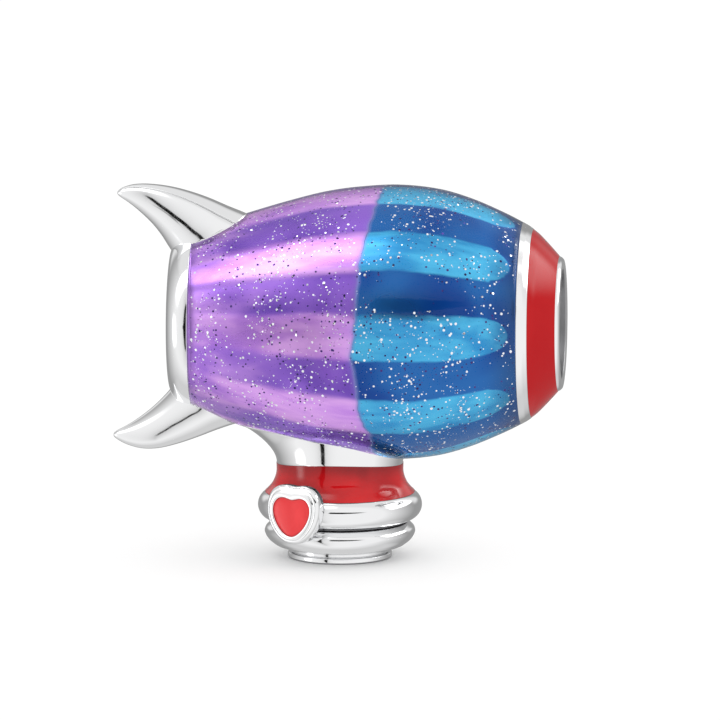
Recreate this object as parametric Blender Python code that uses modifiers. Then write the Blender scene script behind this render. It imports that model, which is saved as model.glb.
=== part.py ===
"""A silver bracelet bead made as a small airship.

Barrel envelope along X with the nose at +X, two horn fins at the tail, a round gondola below
it and a heart badge on the gondola. The bore for the bracelet runs through the envelope.
Origin at the middle of the foot's underside, +Z up. Lengths in the tables are millimetres.
"""

import math

import bmesh
import bpy
import numpy as np

MM = 0.001
GAP = 0.012
RING_STEPS = 64
GONDOLA_STEPS = 48

# Envelope: BARREL is (x, radius) of the enamel's outside
AXIS_Z = 9.83
BORE_RADIUS = 2.25
LAND_DEPTH = 0.18
CHANNEL_DEPTH = 0.36
CORE_WALL = 0.60
FLUTES = 9
COLOUR_SPLIT_X = 1.15
TAIL_SEAM_X = -6.07
NOSE_SEAM_X = 7.54
BARREL = (
    (-6.80, 3.22), (-6.07, 3.56), (-4.74, 4.12), (-3.47, 4.55), (-1.91, 5.02), (-0.58, 5.36),
    (0.74, 5.56), (2.40, 5.66), (4.06, 5.50), (5.38, 5.13), (6.70, 4.58), (7.54, 4.16), (8.20, 3.77),
)

# Nose: sections as (x, radius), outer side first
NOSE_RING = (
    (7.56, 4.15), (7.77, 4.05), (7.975, 3.90), (7.93, 3.75), (8.90, 2.67), (8.77, 2.50),
    (8.62, 2.50), (7.62, 3.55), (7.56, 3.72),
)
NOSE_BAND = (
    (7.985, 3.875), (8.32, 3.60), (8.66, 3.24), (8.93, 2.94), (9.085, 2.74), (8.925, 2.66),
    (7.955, 3.74),
)
NOSE_RIM = (
    (9.10, 2.725), (9.19, 2.685), (9.245, 2.60), (9.258, 2.50), (9.258, 2.40), (9.235, 2.31),
    (9.17, BORE_RADIUS), (8.45, BORE_RADIUS), (8.45, 2.47), (8.785, 2.48), (8.94, 2.64),
)

# Tail: a quarter round cap with a flat end
TAIL_RING = (
    (-7.025, 2.30), (-7.025, 2.86), (-6.99, 3.03), (-6.91, 3.19), (-6.78, 3.33), (-6.60, 3.44),
    (-6.38, 3.51), (-6.085, 3.555), (-6.085, 3.00), (-6.30, 2.62), (-6.42, BORE_RADIUS),
    (-6.98, BORE_RADIUS),
)

# Fins, root to tip: outer edge x and z, inner edge x and z, half thickness. z is from the axis
FIN_UPPER = (
    (-3.45, 4.20, -6.20, 1.60, 0.86), (-4.30, 4.60, -6.98, 2.92, 1.26),
    (-5.25, 5.06, -7.38, 3.46, 1.20), (-6.55, 5.60, -7.98, 4.24, 0.93),
    (-8.05, 5.86, -8.70, 4.77, 0.61), (-9.02, 5.66, -9.17, 5.13, 0.29),
    (-9.20, 5.52, -9.24, 5.28, 0.14),
)
FIN_LOWER = (
    (-3.75, -4.20, -6.20, -1.60, 0.86), (-4.75, -4.50, -6.98, -2.85, 1.26),
    (-5.85, -4.95, -7.40, -3.28, 1.17), (-7.15, -5.38, -8.10, -3.93, 0.90),
    (-8.40, -5.44, -8.82, -4.50, 0.58), (-9.22, -5.15, -9.31, -4.80, 0.26),
    (-9.36, -5.02, -9.385, -4.90, 0.12),
)
FIN_SECTION = 32
FIN_STEPS = 3
FIN_SKEW = 0.42

# Gondola: sections as (radius, z), outer side top to bottom
UPPER_RING = {"radius": 2.788, "tube": 0.599, "z": 2.189}
LOWER_RING = (
    (2.70, 1.578), (2.735, 1.50), (2.83, 1.465), (2.974, 1.346), (3.056, 1.26), (3.106, 1.10),
    (3.069, 0.962), (3.007, 0.851), (2.916, 0.739), (2.788, 0.636), (2.643, 0.537), (2.437, 0.475),
    (2.15, 0.455), (2.00, 0.455), (2.00, 1.578),
)
WALL = (
    (2.62, 4.05), (2.618, 3.845), (2.631, 3.593), (2.676, 3.341), (2.792, 3.089), (2.87, 2.965),
    (2.978, 2.841), (3.077, 2.742), (2.90, 2.805), (2.60, 2.805), (2.42, 2.82), (2.42, 4.05),
)
FOOT = (
    (2.02, 0.44), (2.00, 0.25), (2.06, 0.232), (2.125, 0.185), (2.148, 0.115), (2.125, 0.045),
    (2.065, 0.0), (0.0, 0.0), (0.0, 0.44),
)
CORE = (
    (2.40, 3.90), (2.40, 2.81), (2.17, 2.80), (2.17, 1.60), (1.98, 1.58), (1.98, 0.455), (0.0, 0.455),
    (0.0, 3.90),
)
NECK_BASE_Z = 4.065
NECK_PLUG_Z = 3.915
NECK_PLUG_RADIUS = 2.40
NECK_RADIUS = 2.62
NECK_RIM = 0.07
NECK_SPREAD_TAIL = 1.84
NECK_SPREAD_SIDE = 0.42
NECK_SPREAD_NOSE = 0.10

# Heart badge on the gondola's rings. HEART_SIDE is half an outline, as shares of the half width and height
BADGE_ANGLE = math.radians(-29.0)
BADGE_TILT = math.radians(4.0)
BADGE_CENTRE_Z = 2.31
BADGE_FACE = 3.73
BADGE_DEPTH = 0.66
BADGE_HALF_WIDTH = 1.20
BADGE_HEIGHT = 2.43
HEART_HALF_WIDTH = 0.90
HEART_HEIGHT = 1.71
HEART_POCKET = 0.16
HEART_SIDE = (
    (0.0, 0.065), (0.26, 0.020), (0.55, 0.0), (0.82, 0.055), (0.97, 0.18), (1.0, 0.33),
    (0.945, 0.51), (0.76, 0.71), (0.44, 0.885), (0.20, 0.97), (0.0, 1.0),
)

SILVER = (0.90, 0.90, 0.91, 1.0)
PURPLE = (0.36, 0.14, 0.62, 1.0)
BLUE = (0.05, 0.30, 0.68, 1.0)
RED = (0.72, 0.02, 0.03, 1.0)


def clearScene():
    for obj in list(bpy.data.objects):
        bpy.data.objects.remove(obj, do_unlink=True)
    for block in list(bpy.data.collections):
        bpy.data.collections.remove(block)


def makeMaterial(name, colour, metallic, roughness):
    material = bpy.data.materials.new(name)
    material.use_nodes = True
    shader = material.node_tree.nodes["Principled BSDF"]
    shader.inputs["Base Color"].default_value = colour
    shader.inputs["Metallic"].default_value = metallic
    shader.inputs["Roughness"].default_value = roughness
    material.diffuse_color = colour
    return material


def placeMesh(name, vertices, faces, edges, collection, look):
    mesh = bpy.data.meshes.new(name)
    mesh.from_pydata([[c * MM for c in v] for v in vertices], edges, faces)
    obj = bpy.data.objects.new(name, mesh)
    collection.objects.link(obj)
    colour, metallic, roughness = look
    mesh.materials.append(makeMaterial(name, colour, metallic, roughness))
    for polygon in mesh.polygons:
        polygon.use_smooth = True
    return obj


def turned(name, section, steps, collection, look):
    """Turn a closed section, given as (radius, height), round the local Z axis."""
    vertices = [(radius, 0.0, height) for radius, height in section]
    count = len(vertices)
    edges = [(i, (i + 1) % count) for i in range(count)]
    onAxis = [radius == 0.0 for radius, height in section]
    edges = [(a, b) for a, b in edges if not (onAxis[a] and onAxis[b])]
    obj = placeMesh(name, vertices, [], edges, collection, look)
    screw = obj.modifiers.new("Turn", "SCREW")
    screw.steps = steps
    screw.render_steps = steps
    screw.use_smooth_shade = True
    screw.use_merge_vertices = any(onAxis)
    screw.merge_threshold = 1e-7
    return obj


def turnedAboutX(name, section, collection, look):
    """Turn a section, given as (x, radius), round the envelope's axis."""
    obj = turned(name, [(radius, x) for x, radius in section], RING_STEPS, collection, look)
    obj.rotation_euler = (0.0, math.radians(90.0), 0.0)
    obj.location = (0.0, 0.0, AXIS_Z * MM)
    return obj


def blendRows(rows, steps):
    """Smooth curve through table rows, with some steps between one row and the next."""
    table = np.array(rows, dtype=float)
    fine = []
    for i in range(len(table) - 1):
        before = table[max(i - 1, 0)]
        after = table[min(i + 2, len(table) - 1)]
        for step in range(steps):
            t = step / steps
            fine.append(0.5 * (
                2 * table[i] + (table[i + 1] - before) * t
                + (2 * before - 5 * table[i] + 4 * table[i + 1] - after) * t ** 2
                + (3 * table[i] - before - 3 * table[i + 1] + after) * t ** 3
            ))
    fine.append(table[-1])
    return [[float(c) for c in row] for row in fine]


def catmullRom(points, at):
    """Smooth curve through (x, value) stations, read at one x."""
    xs = [p[0] for p in points]
    i = min(max(int(np.searchsorted(xs, at)) - 1, 0), len(points) - 2)
    p0 = points[max(i - 1, 0)]
    p1 = points[i]
    p2 = points[i + 1]
    p3 = points[min(i + 2, len(points) - 1)]
    span = p2[0] - p1[0]
    t = (at - p1[0]) / span
    slopeA = (p2[1] - p0[1]) / (p2[0] - p0[0]) * span
    slopeB = (p3[1] - p1[1]) / (p3[0] - p1[0]) * span
    t2 = t * t
    t3 = t2 * t
    return (
        p1[1] * (2 * t3 - 3 * t2 + 1) + slopeA * (t3 - 2 * t2 + t)
        + p2[1] * (3 * t2 - 2 * t3) + slopeB * (t3 - t2)
    )


def barrelRadius(x):
    return catmullRom(BARREL, min(max(x, BARREL[0][0]), BARREL[-1][0]))


def channelShare(angle):
    """0 on a land of the core, 1 in a channel, with a short wall between them."""
    turn = FLUTES * angle / (2 * math.pi)
    fromLand = abs((turn + 0.5) % 1.0 - 0.5)
    return min(max((fromLand - 0.1875) / 0.125, 0.0), 1.0)


def flutedRadius(x, angle):
    share = channelShare(angle)
    return barrelRadius(x) - LAND_DEPTH - (CHANNEL_DEPTH - LAND_DEPTH) * share


def ringBody(name, rows, collection, look):
    """Closed body round the envelope's axis. Each row is x and a radius for every angle."""
    around = 8 * FLUTES
    vertices = []
    for x, radiusAt in rows:
        for i in range(around):
            angle = 2 * math.pi * i / around
            radius = radiusAt(x, angle)
            vertices.append((float(x), -radius * math.cos(angle), AXIS_Z + radius * math.sin(angle)))
    faces = []
    for row in range(len(rows)):
        after = (row + 1) % len(rows)
        for i in range(around):
            j = (i + 1) % around
            faces.append((row * around + i, row * around + j, after * around + j, after * around + i))
    obj = placeMesh(name, vertices, faces, [], collection, look)
    facingOut(obj)
    return obj


def enamelShell(name, xFrom, xTo, collection, look):
    """Enamel skin: smooth outside, and filling the channels of the core inside."""
    outer = [(x, lambda x, angle: barrelRadius(x)) for x in np.linspace(xFrom, xTo, 11)]
    inner = [(x, flutedRadius) for x in np.linspace(xFrom, xTo, 8)]
    return ringBody(name, outer + inner[::-1], collection, look)


def flutedCore(collection, look):
    """Silver barrel under the enamel: lands and channels outside, hollow inside."""
    ends = (TAIL_SEAM_X + 0.02, NOSE_SEAM_X - 0.02)
    outer = [(x, lambda x, angle: flutedRadius(x, angle) - GAP) for x in np.linspace(*ends, 16)]
    hollow = CHANNEL_DEPTH + CORE_WALL
    inner = [(x, lambda x, angle: barrelRadius(x) - hollow) for x in np.linspace(*ends, 8)]
    return ringBody("envelope_core", outer + inner[::-1], collection, look)


def closedLoft(name, rings, collection, look):
    """Skin a list of rings of equal length, with a fan over each end."""
    vertices = [v for ring in rings for v in ring]
    size = len(rings[0])
    faces = []
    for row in range(len(rings) - 1):
        for i in range(size):
            j = (i + 1) % size
            faces.append((row * size + i, row * size + j, (row + 1) * size + j, (row + 1) * size + i))
    for row, flip in ((0, False), (len(rings) - 1, True)):
        centre = np.mean(np.array(rings[row]), axis=0)
        vertices.append(tuple(float(c) for c in centre))
        hub = len(vertices) - 1
        for i in range(size):
            a = row * size + i
            b = row * size + (i + 1) % size
            faces.append((hub, a, b) if flip else (hub, b, a))
    return placeMesh(name, vertices, faces, [], collection, look)


def facingOut(obj):
    work = bmesh.new()
    work.from_mesh(obj.data)
    bmesh.ops.recalc_face_normals(work, faces=work.faces)
    work.to_mesh(obj.data)
    work.free()


def fin(name, stations, cutter, collection, look):
    """Horn fin: sections between its outer and inner edge, then cut back to the envelope."""
    rings = []
    for outerX, outerZ, innerX, innerZ, thick in blendRows(stations, FIN_STEPS):
        middle = ((outerX + innerX) / 2, (outerZ + innerZ) / 2)
        half = ((outerX - innerX) / 2, (outerZ - innerZ) / 2)
        ring = []
        for i in range(FIN_SECTION):
            angle = 2 * math.pi * i / FIN_SECTION
            along = math.cos(angle)
            side = thick * math.sin(angle) * (1.0 - FIN_SKEW * along)
            ring.append((middle[0] + half[0] * along, side, AXIS_Z + middle[1] + half[1] * along))
        rings.append(ring)
    obj = closedLoft(name, rings, collection, look)
    facingOut(obj)
    cutBy(obj, cutter)
    return obj


def cutBy(obj, cutter):
    cut = obj.modifiers.new("Cut", "BOOLEAN")
    cut.operation = "DIFFERENCE"
    cut.solver = "EXACT"
    cut.object = cutter
    return cut


def torus(name, ring, collection, look, grow=0.0):
    count = 20
    section = []
    for i in range(count):
        angle = -2 * math.pi * i / count
        tube = ring["tube"] + grow
        section.append((ring["radius"] + tube * math.cos(angle), ring["z"] + tube * math.sin(angle)))
    return turned(name, section, GONDOLA_STEPS, collection, look)


def undersideZ(x, y):
    """Height of the envelope's underside above the foot at one point."""
    radius = barrelRadius(x)
    return AXIS_Z - math.sqrt(max(radius * radius - y * y, 0.01))


def neck(collection, look):
    """Saddle that spreads from the gondola onto the envelope, most towards the tail."""
    around = GONDOLA_STEPS
    rise = 5
    fill = 6
    turns = [2 * math.pi * i / around for i in range(around)]
    rings = []
    for radius, z in ((NECK_PLUG_RADIUS, NECK_PLUG_Z), (NECK_PLUG_RADIUS, NECK_BASE_Z)):
        rings.append([(radius * math.cos(t), radius * math.sin(t), z) for t in turns])
    edge = []
    for t in turns:
        c = math.cos(t)
        s = math.sin(t)
        toTail = max(-c, 0.0) ** 2
        toNose = max(c, 0.0) ** 2
        spread = NECK_SPREAD_TAIL * toTail + NECK_SPREAD_NOSE * toNose + NECK_SPREAD_SIDE * s * s
        reach = NECK_RADIUS + spread
        height = undersideZ(reach * c, reach * s) - GAP - NECK_BASE_Z
        edge.append((c, s, spread, min(NECK_RIM, 0.4 * height)))
    for row in range(rise + 1):
        turn = 0.5 * math.pi * row / rise
        ring = []
        for c, s, spread, rim in edge:
            radius = NECK_RADIUS + spread * (1.0 - math.cos(turn))
            top = undersideZ(radius * c, radius * s) - GAP - rim
            ring.append((radius * c, radius * s, NECK_BASE_Z + (top - NECK_BASE_Z) * math.sin(turn)))
        rings.append(ring)
    for row in range(fill):
        part = 1.0 - row / fill
        ring = []
        for c, s, spread, rim in edge:
            x = (NECK_RADIUS + spread) * part * c
            y = (NECK_RADIUS + spread) * part * s
            ring.append((x, y, undersideZ(x, y) - GAP))
        rings.append(ring)
    obj = closedLoft("gondola_neck", rings, collection, look)
    facingOut(obj)
    return obj


def heartOutline(halfWidth, height, notch):
    """Closed heart outline, from the notch round the right side and back up the left."""
    points = [(u * halfWidth, v) for u, v in HEART_SIDE]
    points[0] = (0.0, notch)
    mirrored = [(-points[1][0], points[1][1])] + points + [(-points[-2][0], points[-2][1])]
    fine = blendRows(mirrored, 3)[3:-3]
    right = [(u, (0.5 - v) * height) for u, v in fine]
    left = [(-u, v) for u, v in right[-2:0:-1]]
    return right + left


def heartRings(steps):
    """Rings of a heart body, each given as half width, height, notch depth and depth forward."""
    rings = []
    for halfWidth, height, notch, forward in steps:
        rings.append([(u, -forward, v) for u, v in heartOutline(halfWidth, height, notch)])
    return rings


def seatBadge(obj):
    """Stand a heart piece, drawn facing -Y at the origin, on the gondola."""
    obj.rotation_euler = (-BADGE_TILT, 0.0, BADGE_ANGLE)
    obj.location = (
        BADGE_FACE * math.sin(BADGE_ANGLE) * MM,
        -BADGE_FACE * math.cos(BADGE_ANGLE) * MM,
        BADGE_CENTRE_Z * MM,
    )


def heartBadge(cutters, collection, helpers, silver, red):
    w = BADGE_HALF_WIDTH
    h = BADGE_HEIGHT
    frame = closedLoft("heart_frame", heartRings((
        (w, h, 0.045, -BADGE_DEPTH), (w, h, 0.045, -0.16), (w - 0.02, h - 0.04, 0.045, -0.09),
        (w - 0.07, h - 0.14, 0.05, -0.025), (w - 0.15, h - 0.30, 0.055, 0.0),
    )), collection, silver)
    facingOut(frame)
    seatBadge(frame)
    w = HEART_HALF_WIDTH
    h = HEART_HEIGHT
    pocket = closedLoft("heart_pocket", heartRings((
        (w, h, 0.065, -HEART_POCKET), (w, h, 0.065, 0.2),
    )), helpers, silver)
    facingOut(pocket)
    seatBadge(pocket)
    cutBy(frame, pocket)
    for cutter in cutters:
        cutBy(frame, cutter)
    w = HEART_HALF_WIDTH - GAP
    h = HEART_HEIGHT - 2 * GAP
    enamel = closedLoft("heart_enamel", heartRings((
        (w, h, 0.065, -HEART_POCKET + GAP), (w, h, 0.065, -0.055), (w * 0.9, h * 0.9, 0.06, -0.03),
        (w * 0.6, h * 0.6, 0.05, -0.012), (w * 0.25, h * 0.25, 0.05, -0.005),
    )), collection, red)
    facingOut(enamel)
    seatBadge(enamel)


def main():
    clearScene()
    scene = bpy.context.scene
    airship = bpy.data.collections.new("airship_bead")
    helpers = bpy.data.collections.new("cutters")
    scene.collection.children.link(airship)
    scene.collection.children.link(helpers)
    helpers.hide_render = True

    silver = (SILVER, 1.0, 0.08)
    purple = (PURPLE, 0.0, 0.12)
    blue = (BLUE, 0.0, 0.12)
    red = (RED, 0.0, 0.12)

    flutedCore(airship, silver)
    enamelShell("envelope_rear", TAIL_SEAM_X, COLOUR_SPLIT_X - GAP / 2, airship, purple)
    enamelShell("envelope_front", COLOUR_SPLIT_X + GAP / 2, NOSE_SEAM_X, airship, blue)
    turnedAboutX("nose_ring", NOSE_RING[::-1], airship, silver)
    turnedAboutX("nose_band", NOSE_BAND[::-1], airship, red)
    turnedAboutX("nose_rim", NOSE_RIM[::-1], airship, silver)
    turnedAboutX("tail_ring", TAIL_RING[::-1], airship, silver)

    stations = [p for p in BARREL if TAIL_SEAM_X < p[0] < NOSE_SEAM_X]
    outline = [(-7.04, 0.0)]
    outline += [(x - 0.008, radius + 0.012) for x, radius in TAIL_RING[1:8]]
    outline += [(x, radius + GAP) for x, radius in stations]
    outline += [(NOSE_SEAM_X, 0.0)]
    cutter = turnedAboutX("envelope_cutter", outline[::-1], helpers, silver)
    fin("tail_fin_upper", FIN_UPPER, cutter, airship, silver)
    fin("tail_fin_lower", FIN_LOWER, cutter, airship, silver)

    neck(airship, silver)
    turned("gondola_core", CORE, GONDOLA_STEPS, airship, silver)
    turned("gondola_wall", WALL, GONDOLA_STEPS, airship, red)
    torus("gondola_upper_ring", UPPER_RING, airship, silver)
    turned("gondola_lower_ring", LOWER_RING, GONDOLA_STEPS, airship, silver)
    turned("foot_ring", FOOT, GONDOLA_STEPS, airship, silver)
    lowered = [(radius + GAP, z) for radius, z in LOWER_RING[1:12]]
    around = [
        torus("upper_ring_cutter", UPPER_RING, helpers, silver, GAP),
        turned("lower_ring_cutter", [(2.60, 1.50)] + lowered + [(2.30, 0.475)],
               GONDOLA_STEPS, helpers, silver),
    ]
    heartBadge(around, airship, helpers, silver, red)

    for obj in helpers.objects:
        obj.hide_render = True
        obj.display_type = "WIRE"


main()
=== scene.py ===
# Looks for the airship bracelet bead: polished silver, glitter enamel on a fluted core, red enamel
import math
import random

import bpy
from mathutils import Matrix, Vector, noise


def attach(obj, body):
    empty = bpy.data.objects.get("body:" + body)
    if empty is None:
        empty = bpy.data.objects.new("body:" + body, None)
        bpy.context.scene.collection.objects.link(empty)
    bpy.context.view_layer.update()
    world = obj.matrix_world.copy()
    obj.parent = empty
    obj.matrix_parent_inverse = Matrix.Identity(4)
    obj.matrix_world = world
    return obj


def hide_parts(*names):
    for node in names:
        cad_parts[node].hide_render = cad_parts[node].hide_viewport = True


mm = 0.001
axisHeight = 9.83  # height of the envelope's axis above the foot, mm

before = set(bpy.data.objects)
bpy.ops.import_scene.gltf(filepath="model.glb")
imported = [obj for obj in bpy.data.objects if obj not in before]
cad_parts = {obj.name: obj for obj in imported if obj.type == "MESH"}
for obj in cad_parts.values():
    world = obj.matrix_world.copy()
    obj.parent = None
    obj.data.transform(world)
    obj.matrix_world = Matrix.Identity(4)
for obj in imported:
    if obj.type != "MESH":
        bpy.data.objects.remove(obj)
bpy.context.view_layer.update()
print("frame loaded:", len(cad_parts), "nodes")


# Mesh helpers

def blendRows(rows, steps):
    # smooth curve through table rows, with some steps between one row and the next
    fine = []
    for i in range(len(rows) - 1):
        before, here = rows[max(i - 1, 0)], rows[i]
        there, after = rows[i + 1], rows[min(i + 2, len(rows) - 1)]
        for step in range(steps):
            t = step / steps
            fine.append([0.5 * (2 * b + (c - a) * t + (2 * a - 5 * b + 4 * c - d) * t ** 2
                                + (3 * b - a - 3 * c + d) * t ** 3)
                         for a, b, c, d in zip(before, here, there, after)])
    fine.append(list(rows[-1]))
    return fine


def roundCorners(points, steps=6):
    # closed section with its corners rounded: each point is (a, b, size of the round)
    section = []
    for i, (a, b, size) in enumerate(points):
        here = Vector((a, b))
        if size == 0:
            section.append((a, b))
            continue
        before = Vector(points[i - 1][:2]) - here
        after = Vector(points[(i + 1) % len(points)][:2]) - here
        size = min(size, 0.4 * before.length, 0.4 * after.length)
        start = here + before.normalized() * size
        end = here + after.normalized() * size
        section.append(tuple(start + before.normalized() * size * 0.2))  # keeps the flat flat
        for step in range(steps + 1):
            t = step / steps
            section.append(tuple(start * (1 - t) ** 2 + here * 2 * t * (1 - t) + end * t ** 2))
        section.append(tuple(end + after.normalized() * size * 0.2))
    return section


def newPiece(name, vertices, faces, material, replaced=()):
    mesh = bpy.data.meshes.new(name)
    mesh.from_pydata([[c * mm for c in v] for v in vertices], [], faces)
    mesh.validate()
    mesh.polygons.foreach_set("use_smooth", [True] * len(mesh.polygons))
    mesh.materials.append(material)
    piece = bpy.data.objects.new(name, mesh)
    bpy.context.scene.collection.objects.link(piece)
    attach(piece, "root")
    if replaced:
        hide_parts(*replaced)
    return piece


def turned(name, section, steps, about, material, replaced):
    # section points are (radius, height) about Z, or (x, radius) about the envelope's axis
    vertices = []
    faces = []
    count = len(section)
    for i in range(steps):
        angle = 2 * math.pi * i / steps
        c, s = math.cos(angle), math.sin(angle)
        for a, b in section:
            vertices.append((a * c, a * s, b) if about == "z" else (a, -b * c, axisHeight + b * s))
        for j in range(count):
            k = (j + 1) % count
            m = (i + 1) % steps
            face = (i * count + j, i * count + k, m * count + k, m * count + j)
            faces.append(face if about == "x" else face[::-1])
    piece = newPiece(name, vertices, faces, material, replaced)
    outward(piece)
    return piece


def outward(piece):
    # faces point away from the solid, whichever way the table was written
    volume = 0.0
    for polygon in piece.data.polygons:
        volume += polygon.normal.dot(polygon.center) * polygon.area
    if volume < 0:
        piece.data.flip_normals()


def ringsToMesh(rings, closed=False):
    # skin equal rings; an open stack gets a fan at each end
    size = len(rings[0])
    vertices = [tuple(v) for ring in rings for v in ring]
    faces = []
    for row in range(len(rings) if closed else len(rings) - 1):
        after = (row + 1) % len(rings)
        for i in range(size):
            j = (i + 1) % size
            faces.append((row * size + i, row * size + j, after * size + j, after * size + i))
    if not closed:
        for row, flip in ((0, False), (len(rings) - 1, True)):
            hub = len(vertices)
            vertices.append(tuple(sum(v[k] for v in rings[row]) / size for k in range(3)))
            for i in range(size):
                a, b = row * size + i, row * size + (i + 1) % size
                faces.append((hub, a, b) if flip else (hub, b, a))
    return vertices, faces


# Shader helpers

def addNode(tree, kind, **settings):
    node = tree.nodes.new(kind)
    for key, value in settings.items():
        if key in node.bl_rna.properties:
            setattr(node, key, value)
        else:
            node.inputs[key].default_value = value
    return node


def mathNode(tree, operation, *values):
    node = tree.nodes.new("ShaderNodeMath")
    node.operation = operation
    for i, value in enumerate(values):
        if isinstance(value, (int, float)):
            node.inputs[i].default_value = value
        else:
            tree.links.new(value, node.inputs[i])
    return node.outputs[0]


def mapRange(tree, value, low, high, toLow, toHigh, kind="SMOOTHSTEP"):
    node = tree.nodes.new("ShaderNodeMapRange")
    node.interpolation_type = kind
    tree.links.new(value, node.inputs["Value"])
    for key, number in (("From Min", low), ("From Max", high), ("To Min", toLow), ("To Max", toHigh)):
        node.inputs[key].default_value = number
    return node.outputs["Result"]


def mixColours(tree, share, first, second):
    node = tree.nodes.new("ShaderNodeMix")
    node.data_type = "RGBA"
    for value, socket in ((share, node.inputs[0]), (first, node.inputs[6]), (second, node.inputs[7])):
        if isinstance(value, (int, float)):
            socket.default_value = value
        elif isinstance(value, tuple):
            socket.default_value = (*value, 1.0)
        else:
            tree.links.new(value, socket)
    return node.outputs[2]


def shareBetween(tree, value, low, high):
    # 0 at low and 1 at high, where these are sockets too
    span = mathNode(tree, "SUBTRACT", high, low)
    return mathNode(tree, "DIVIDE", mathNode(tree, "SUBTRACT", value, low), span)


def newGroup(name, inputs, outputs):
    # inputs are (name, kind, value); outputs are (name, kind)
    group = bpy.data.node_groups.new(name, "ShaderNodeTree")
    for label, kind, value in inputs:
        socket = group.interface.new_socket(name=label, in_out="INPUT", socket_type="NodeSocket" + kind)
        socket.default_value = value
    for label, kind in outputs:
        group.interface.new_socket(name=label, in_out="OUTPUT", socket_type="NodeSocket" + kind)
    return group, group.nodes.new("NodeGroupInput"), group.nodes.new("NodeGroupOutput")


def useGroup(tree, group, **values):
    node = tree.nodes.new("ShaderNodeGroup")
    node.node_tree = group
    for key, value in values.items():
        label = key[0].upper() + "".join(" " + c if c.isupper() else c for c in key[1:])
        if isinstance(value, bpy.types.NodeSocket):
            tree.links.new(value, node.inputs[label])
        else:
            node.inputs[label].default_value = value
    return node


def newMaterial(name):
    material = bpy.data.materials.new(name)
    material.use_nodes = True
    tree = material.node_tree
    return material, tree, tree.nodes["Principled BSDF"]


# Effects used by more than one material

def polishGroup():
    # polished metal: slow tone drift, hand-polish haze in the roughness, painted shade as dark lines in
    # tight seams
    group, given, made = newGroup("polish", [
        ("Light Tone", "Color", (0.95, 0.95, 0.955, 1)), ("Dark Tone", "Color", (0.86, 0.865, 0.875, 1)),
        ("Painted Seam Shade", "Color", (0.12, 0.12, 0.13, 1)), ("Scale", "Float", 260.0),
        ("Low Roughness", "Float", 0.045), ("High Roughness", "Float", 0.1),
        ("Painted Shade Reach", "Float", 0.00016),
    ], [("Color", "Color"), ("Roughness", "Float"), ("Height", "Float")])
    place = addNode(group, "ShaderNodeTexCoord")
    broad = addNode(group, "ShaderNodeTexNoise", Detail=3.0, Roughness=0.55)
    group.links.new(place.outputs["Object"], broad.inputs["Vector"])
    group.links.new(given.outputs["Scale"], broad.inputs["Scale"])
    fine = addNode(group, "ShaderNodeTexNoise", Detail=5.0, Roughness=0.62)
    group.links.new(place.outputs["Object"], fine.inputs["Vector"])
    group.links.new(mathNode(group, "MULTIPLY", given.outputs["Scale"], 14.0), fine.inputs["Scale"])
    drift = broad.outputs["Fac"]
    tone = mixColours(group, drift, given.outputs["Light Tone"], given.outputs["Dark Tone"])
    # painted shade: ambient occlusion darkens the silver's colour in tight seams
    seam = addNode(group, "ShaderNodeAmbientOcclusion", samples=8)
    group.links.new(given.outputs["Painted Shade Reach"], seam.inputs["Distance"])
    clear = mapRange(group, seam.outputs["AO"], 0.25, 0.75, 0.0, 1.0)
    tone = mixColours(group, clear, given.outputs["Painted Seam Shade"], tone)
    group.links.new(tone, made.inputs["Color"])
    spread = mathNode(group, "SUBTRACT", given.outputs["High Roughness"], given.outputs["Low Roughness"])
    haze = mapRange(group, fine.outputs["Fac"], 0.35, 0.7, 0.0, 1.0)
    rough = mathNode(group, "MULTIPLY_ADD", spread, haze, given.outputs["Low Roughness"])
    group.links.new(rough, made.inputs["Roughness"])
    scratches = mathNode(group, "MULTIPLY", fine.outputs["Fac"], 0.05)
    height = mathNode(group, "MULTIPLY_ADD", drift, 0.8, scratches)
    group.links.new(height, made.inputs["Height"])
    return group


def meltGroup():
    # fired enamel: cloudy tone between a deep and a light colour, a painted shadow darkening it higher
    # up, slow ripple
    group, given, made = newGroup("melt", [
        ("Deep Color", "Color", (0.4, 0, 0, 1)), ("Light Color", "Color", (0.7, 0, 0, 1)),
        ("Scale", "Float", 500.0), ("Deep From", "Float", 0.02), ("Deep To", "Float", 0.03),
    ], [("Color", "Color"), ("Roughness", "Float"), ("Height", "Float")])
    place = addNode(group, "ShaderNodeTexCoord")
    cloud = addNode(group, "ShaderNodeTexNoise", Detail=4.0, Roughness=0.5, Distortion=0.6)
    group.links.new(place.outputs["Object"], cloud.inputs["Vector"])
    group.links.new(given.outputs["Scale"], cloud.inputs["Scale"])
    ripple = addNode(group, "ShaderNodeTexNoise", Detail=1.0, Roughness=0.4)
    group.links.new(place.outputs["Object"], ripple.inputs["Vector"])
    group.links.new(mathNode(group, "MULTIPLY", given.outputs["Scale"], 1.7), ripple.inputs["Scale"])
    share = mapRange(group, cloud.outputs["Fac"], 0.3, 0.7, 0.0, 1.0)
    tone = mixColours(group, share, given.outputs["Deep Color"], given.outputs["Light Color"])
    parts = addNode(group, "ShaderNodeSeparateXYZ")
    group.links.new(place.outputs["Object"], parts.inputs[0])
    # painted shadow: the colour darkens higher up, where the barrel above shades the wall
    thick = shareBetween(group, parts.outputs["Z"], given.outputs["Deep From"], given.outputs["Deep To"])
    thick = mapRange(group, thick, 0.0, 1.0, 0.0, 0.65)
    group.links.new(mixColours(group, thick, tone, (0.10, 0.001, 0.003)), made.inputs["Color"])
    rough = mapRange(group, ripple.outputs["Fac"], 0.3, 0.7, 0.06, 0.13)
    group.links.new(rough, made.inputs["Roughness"])
    group.links.new(ripple.outputs["Fac"], made.inputs["Height"])
    return group


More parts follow.
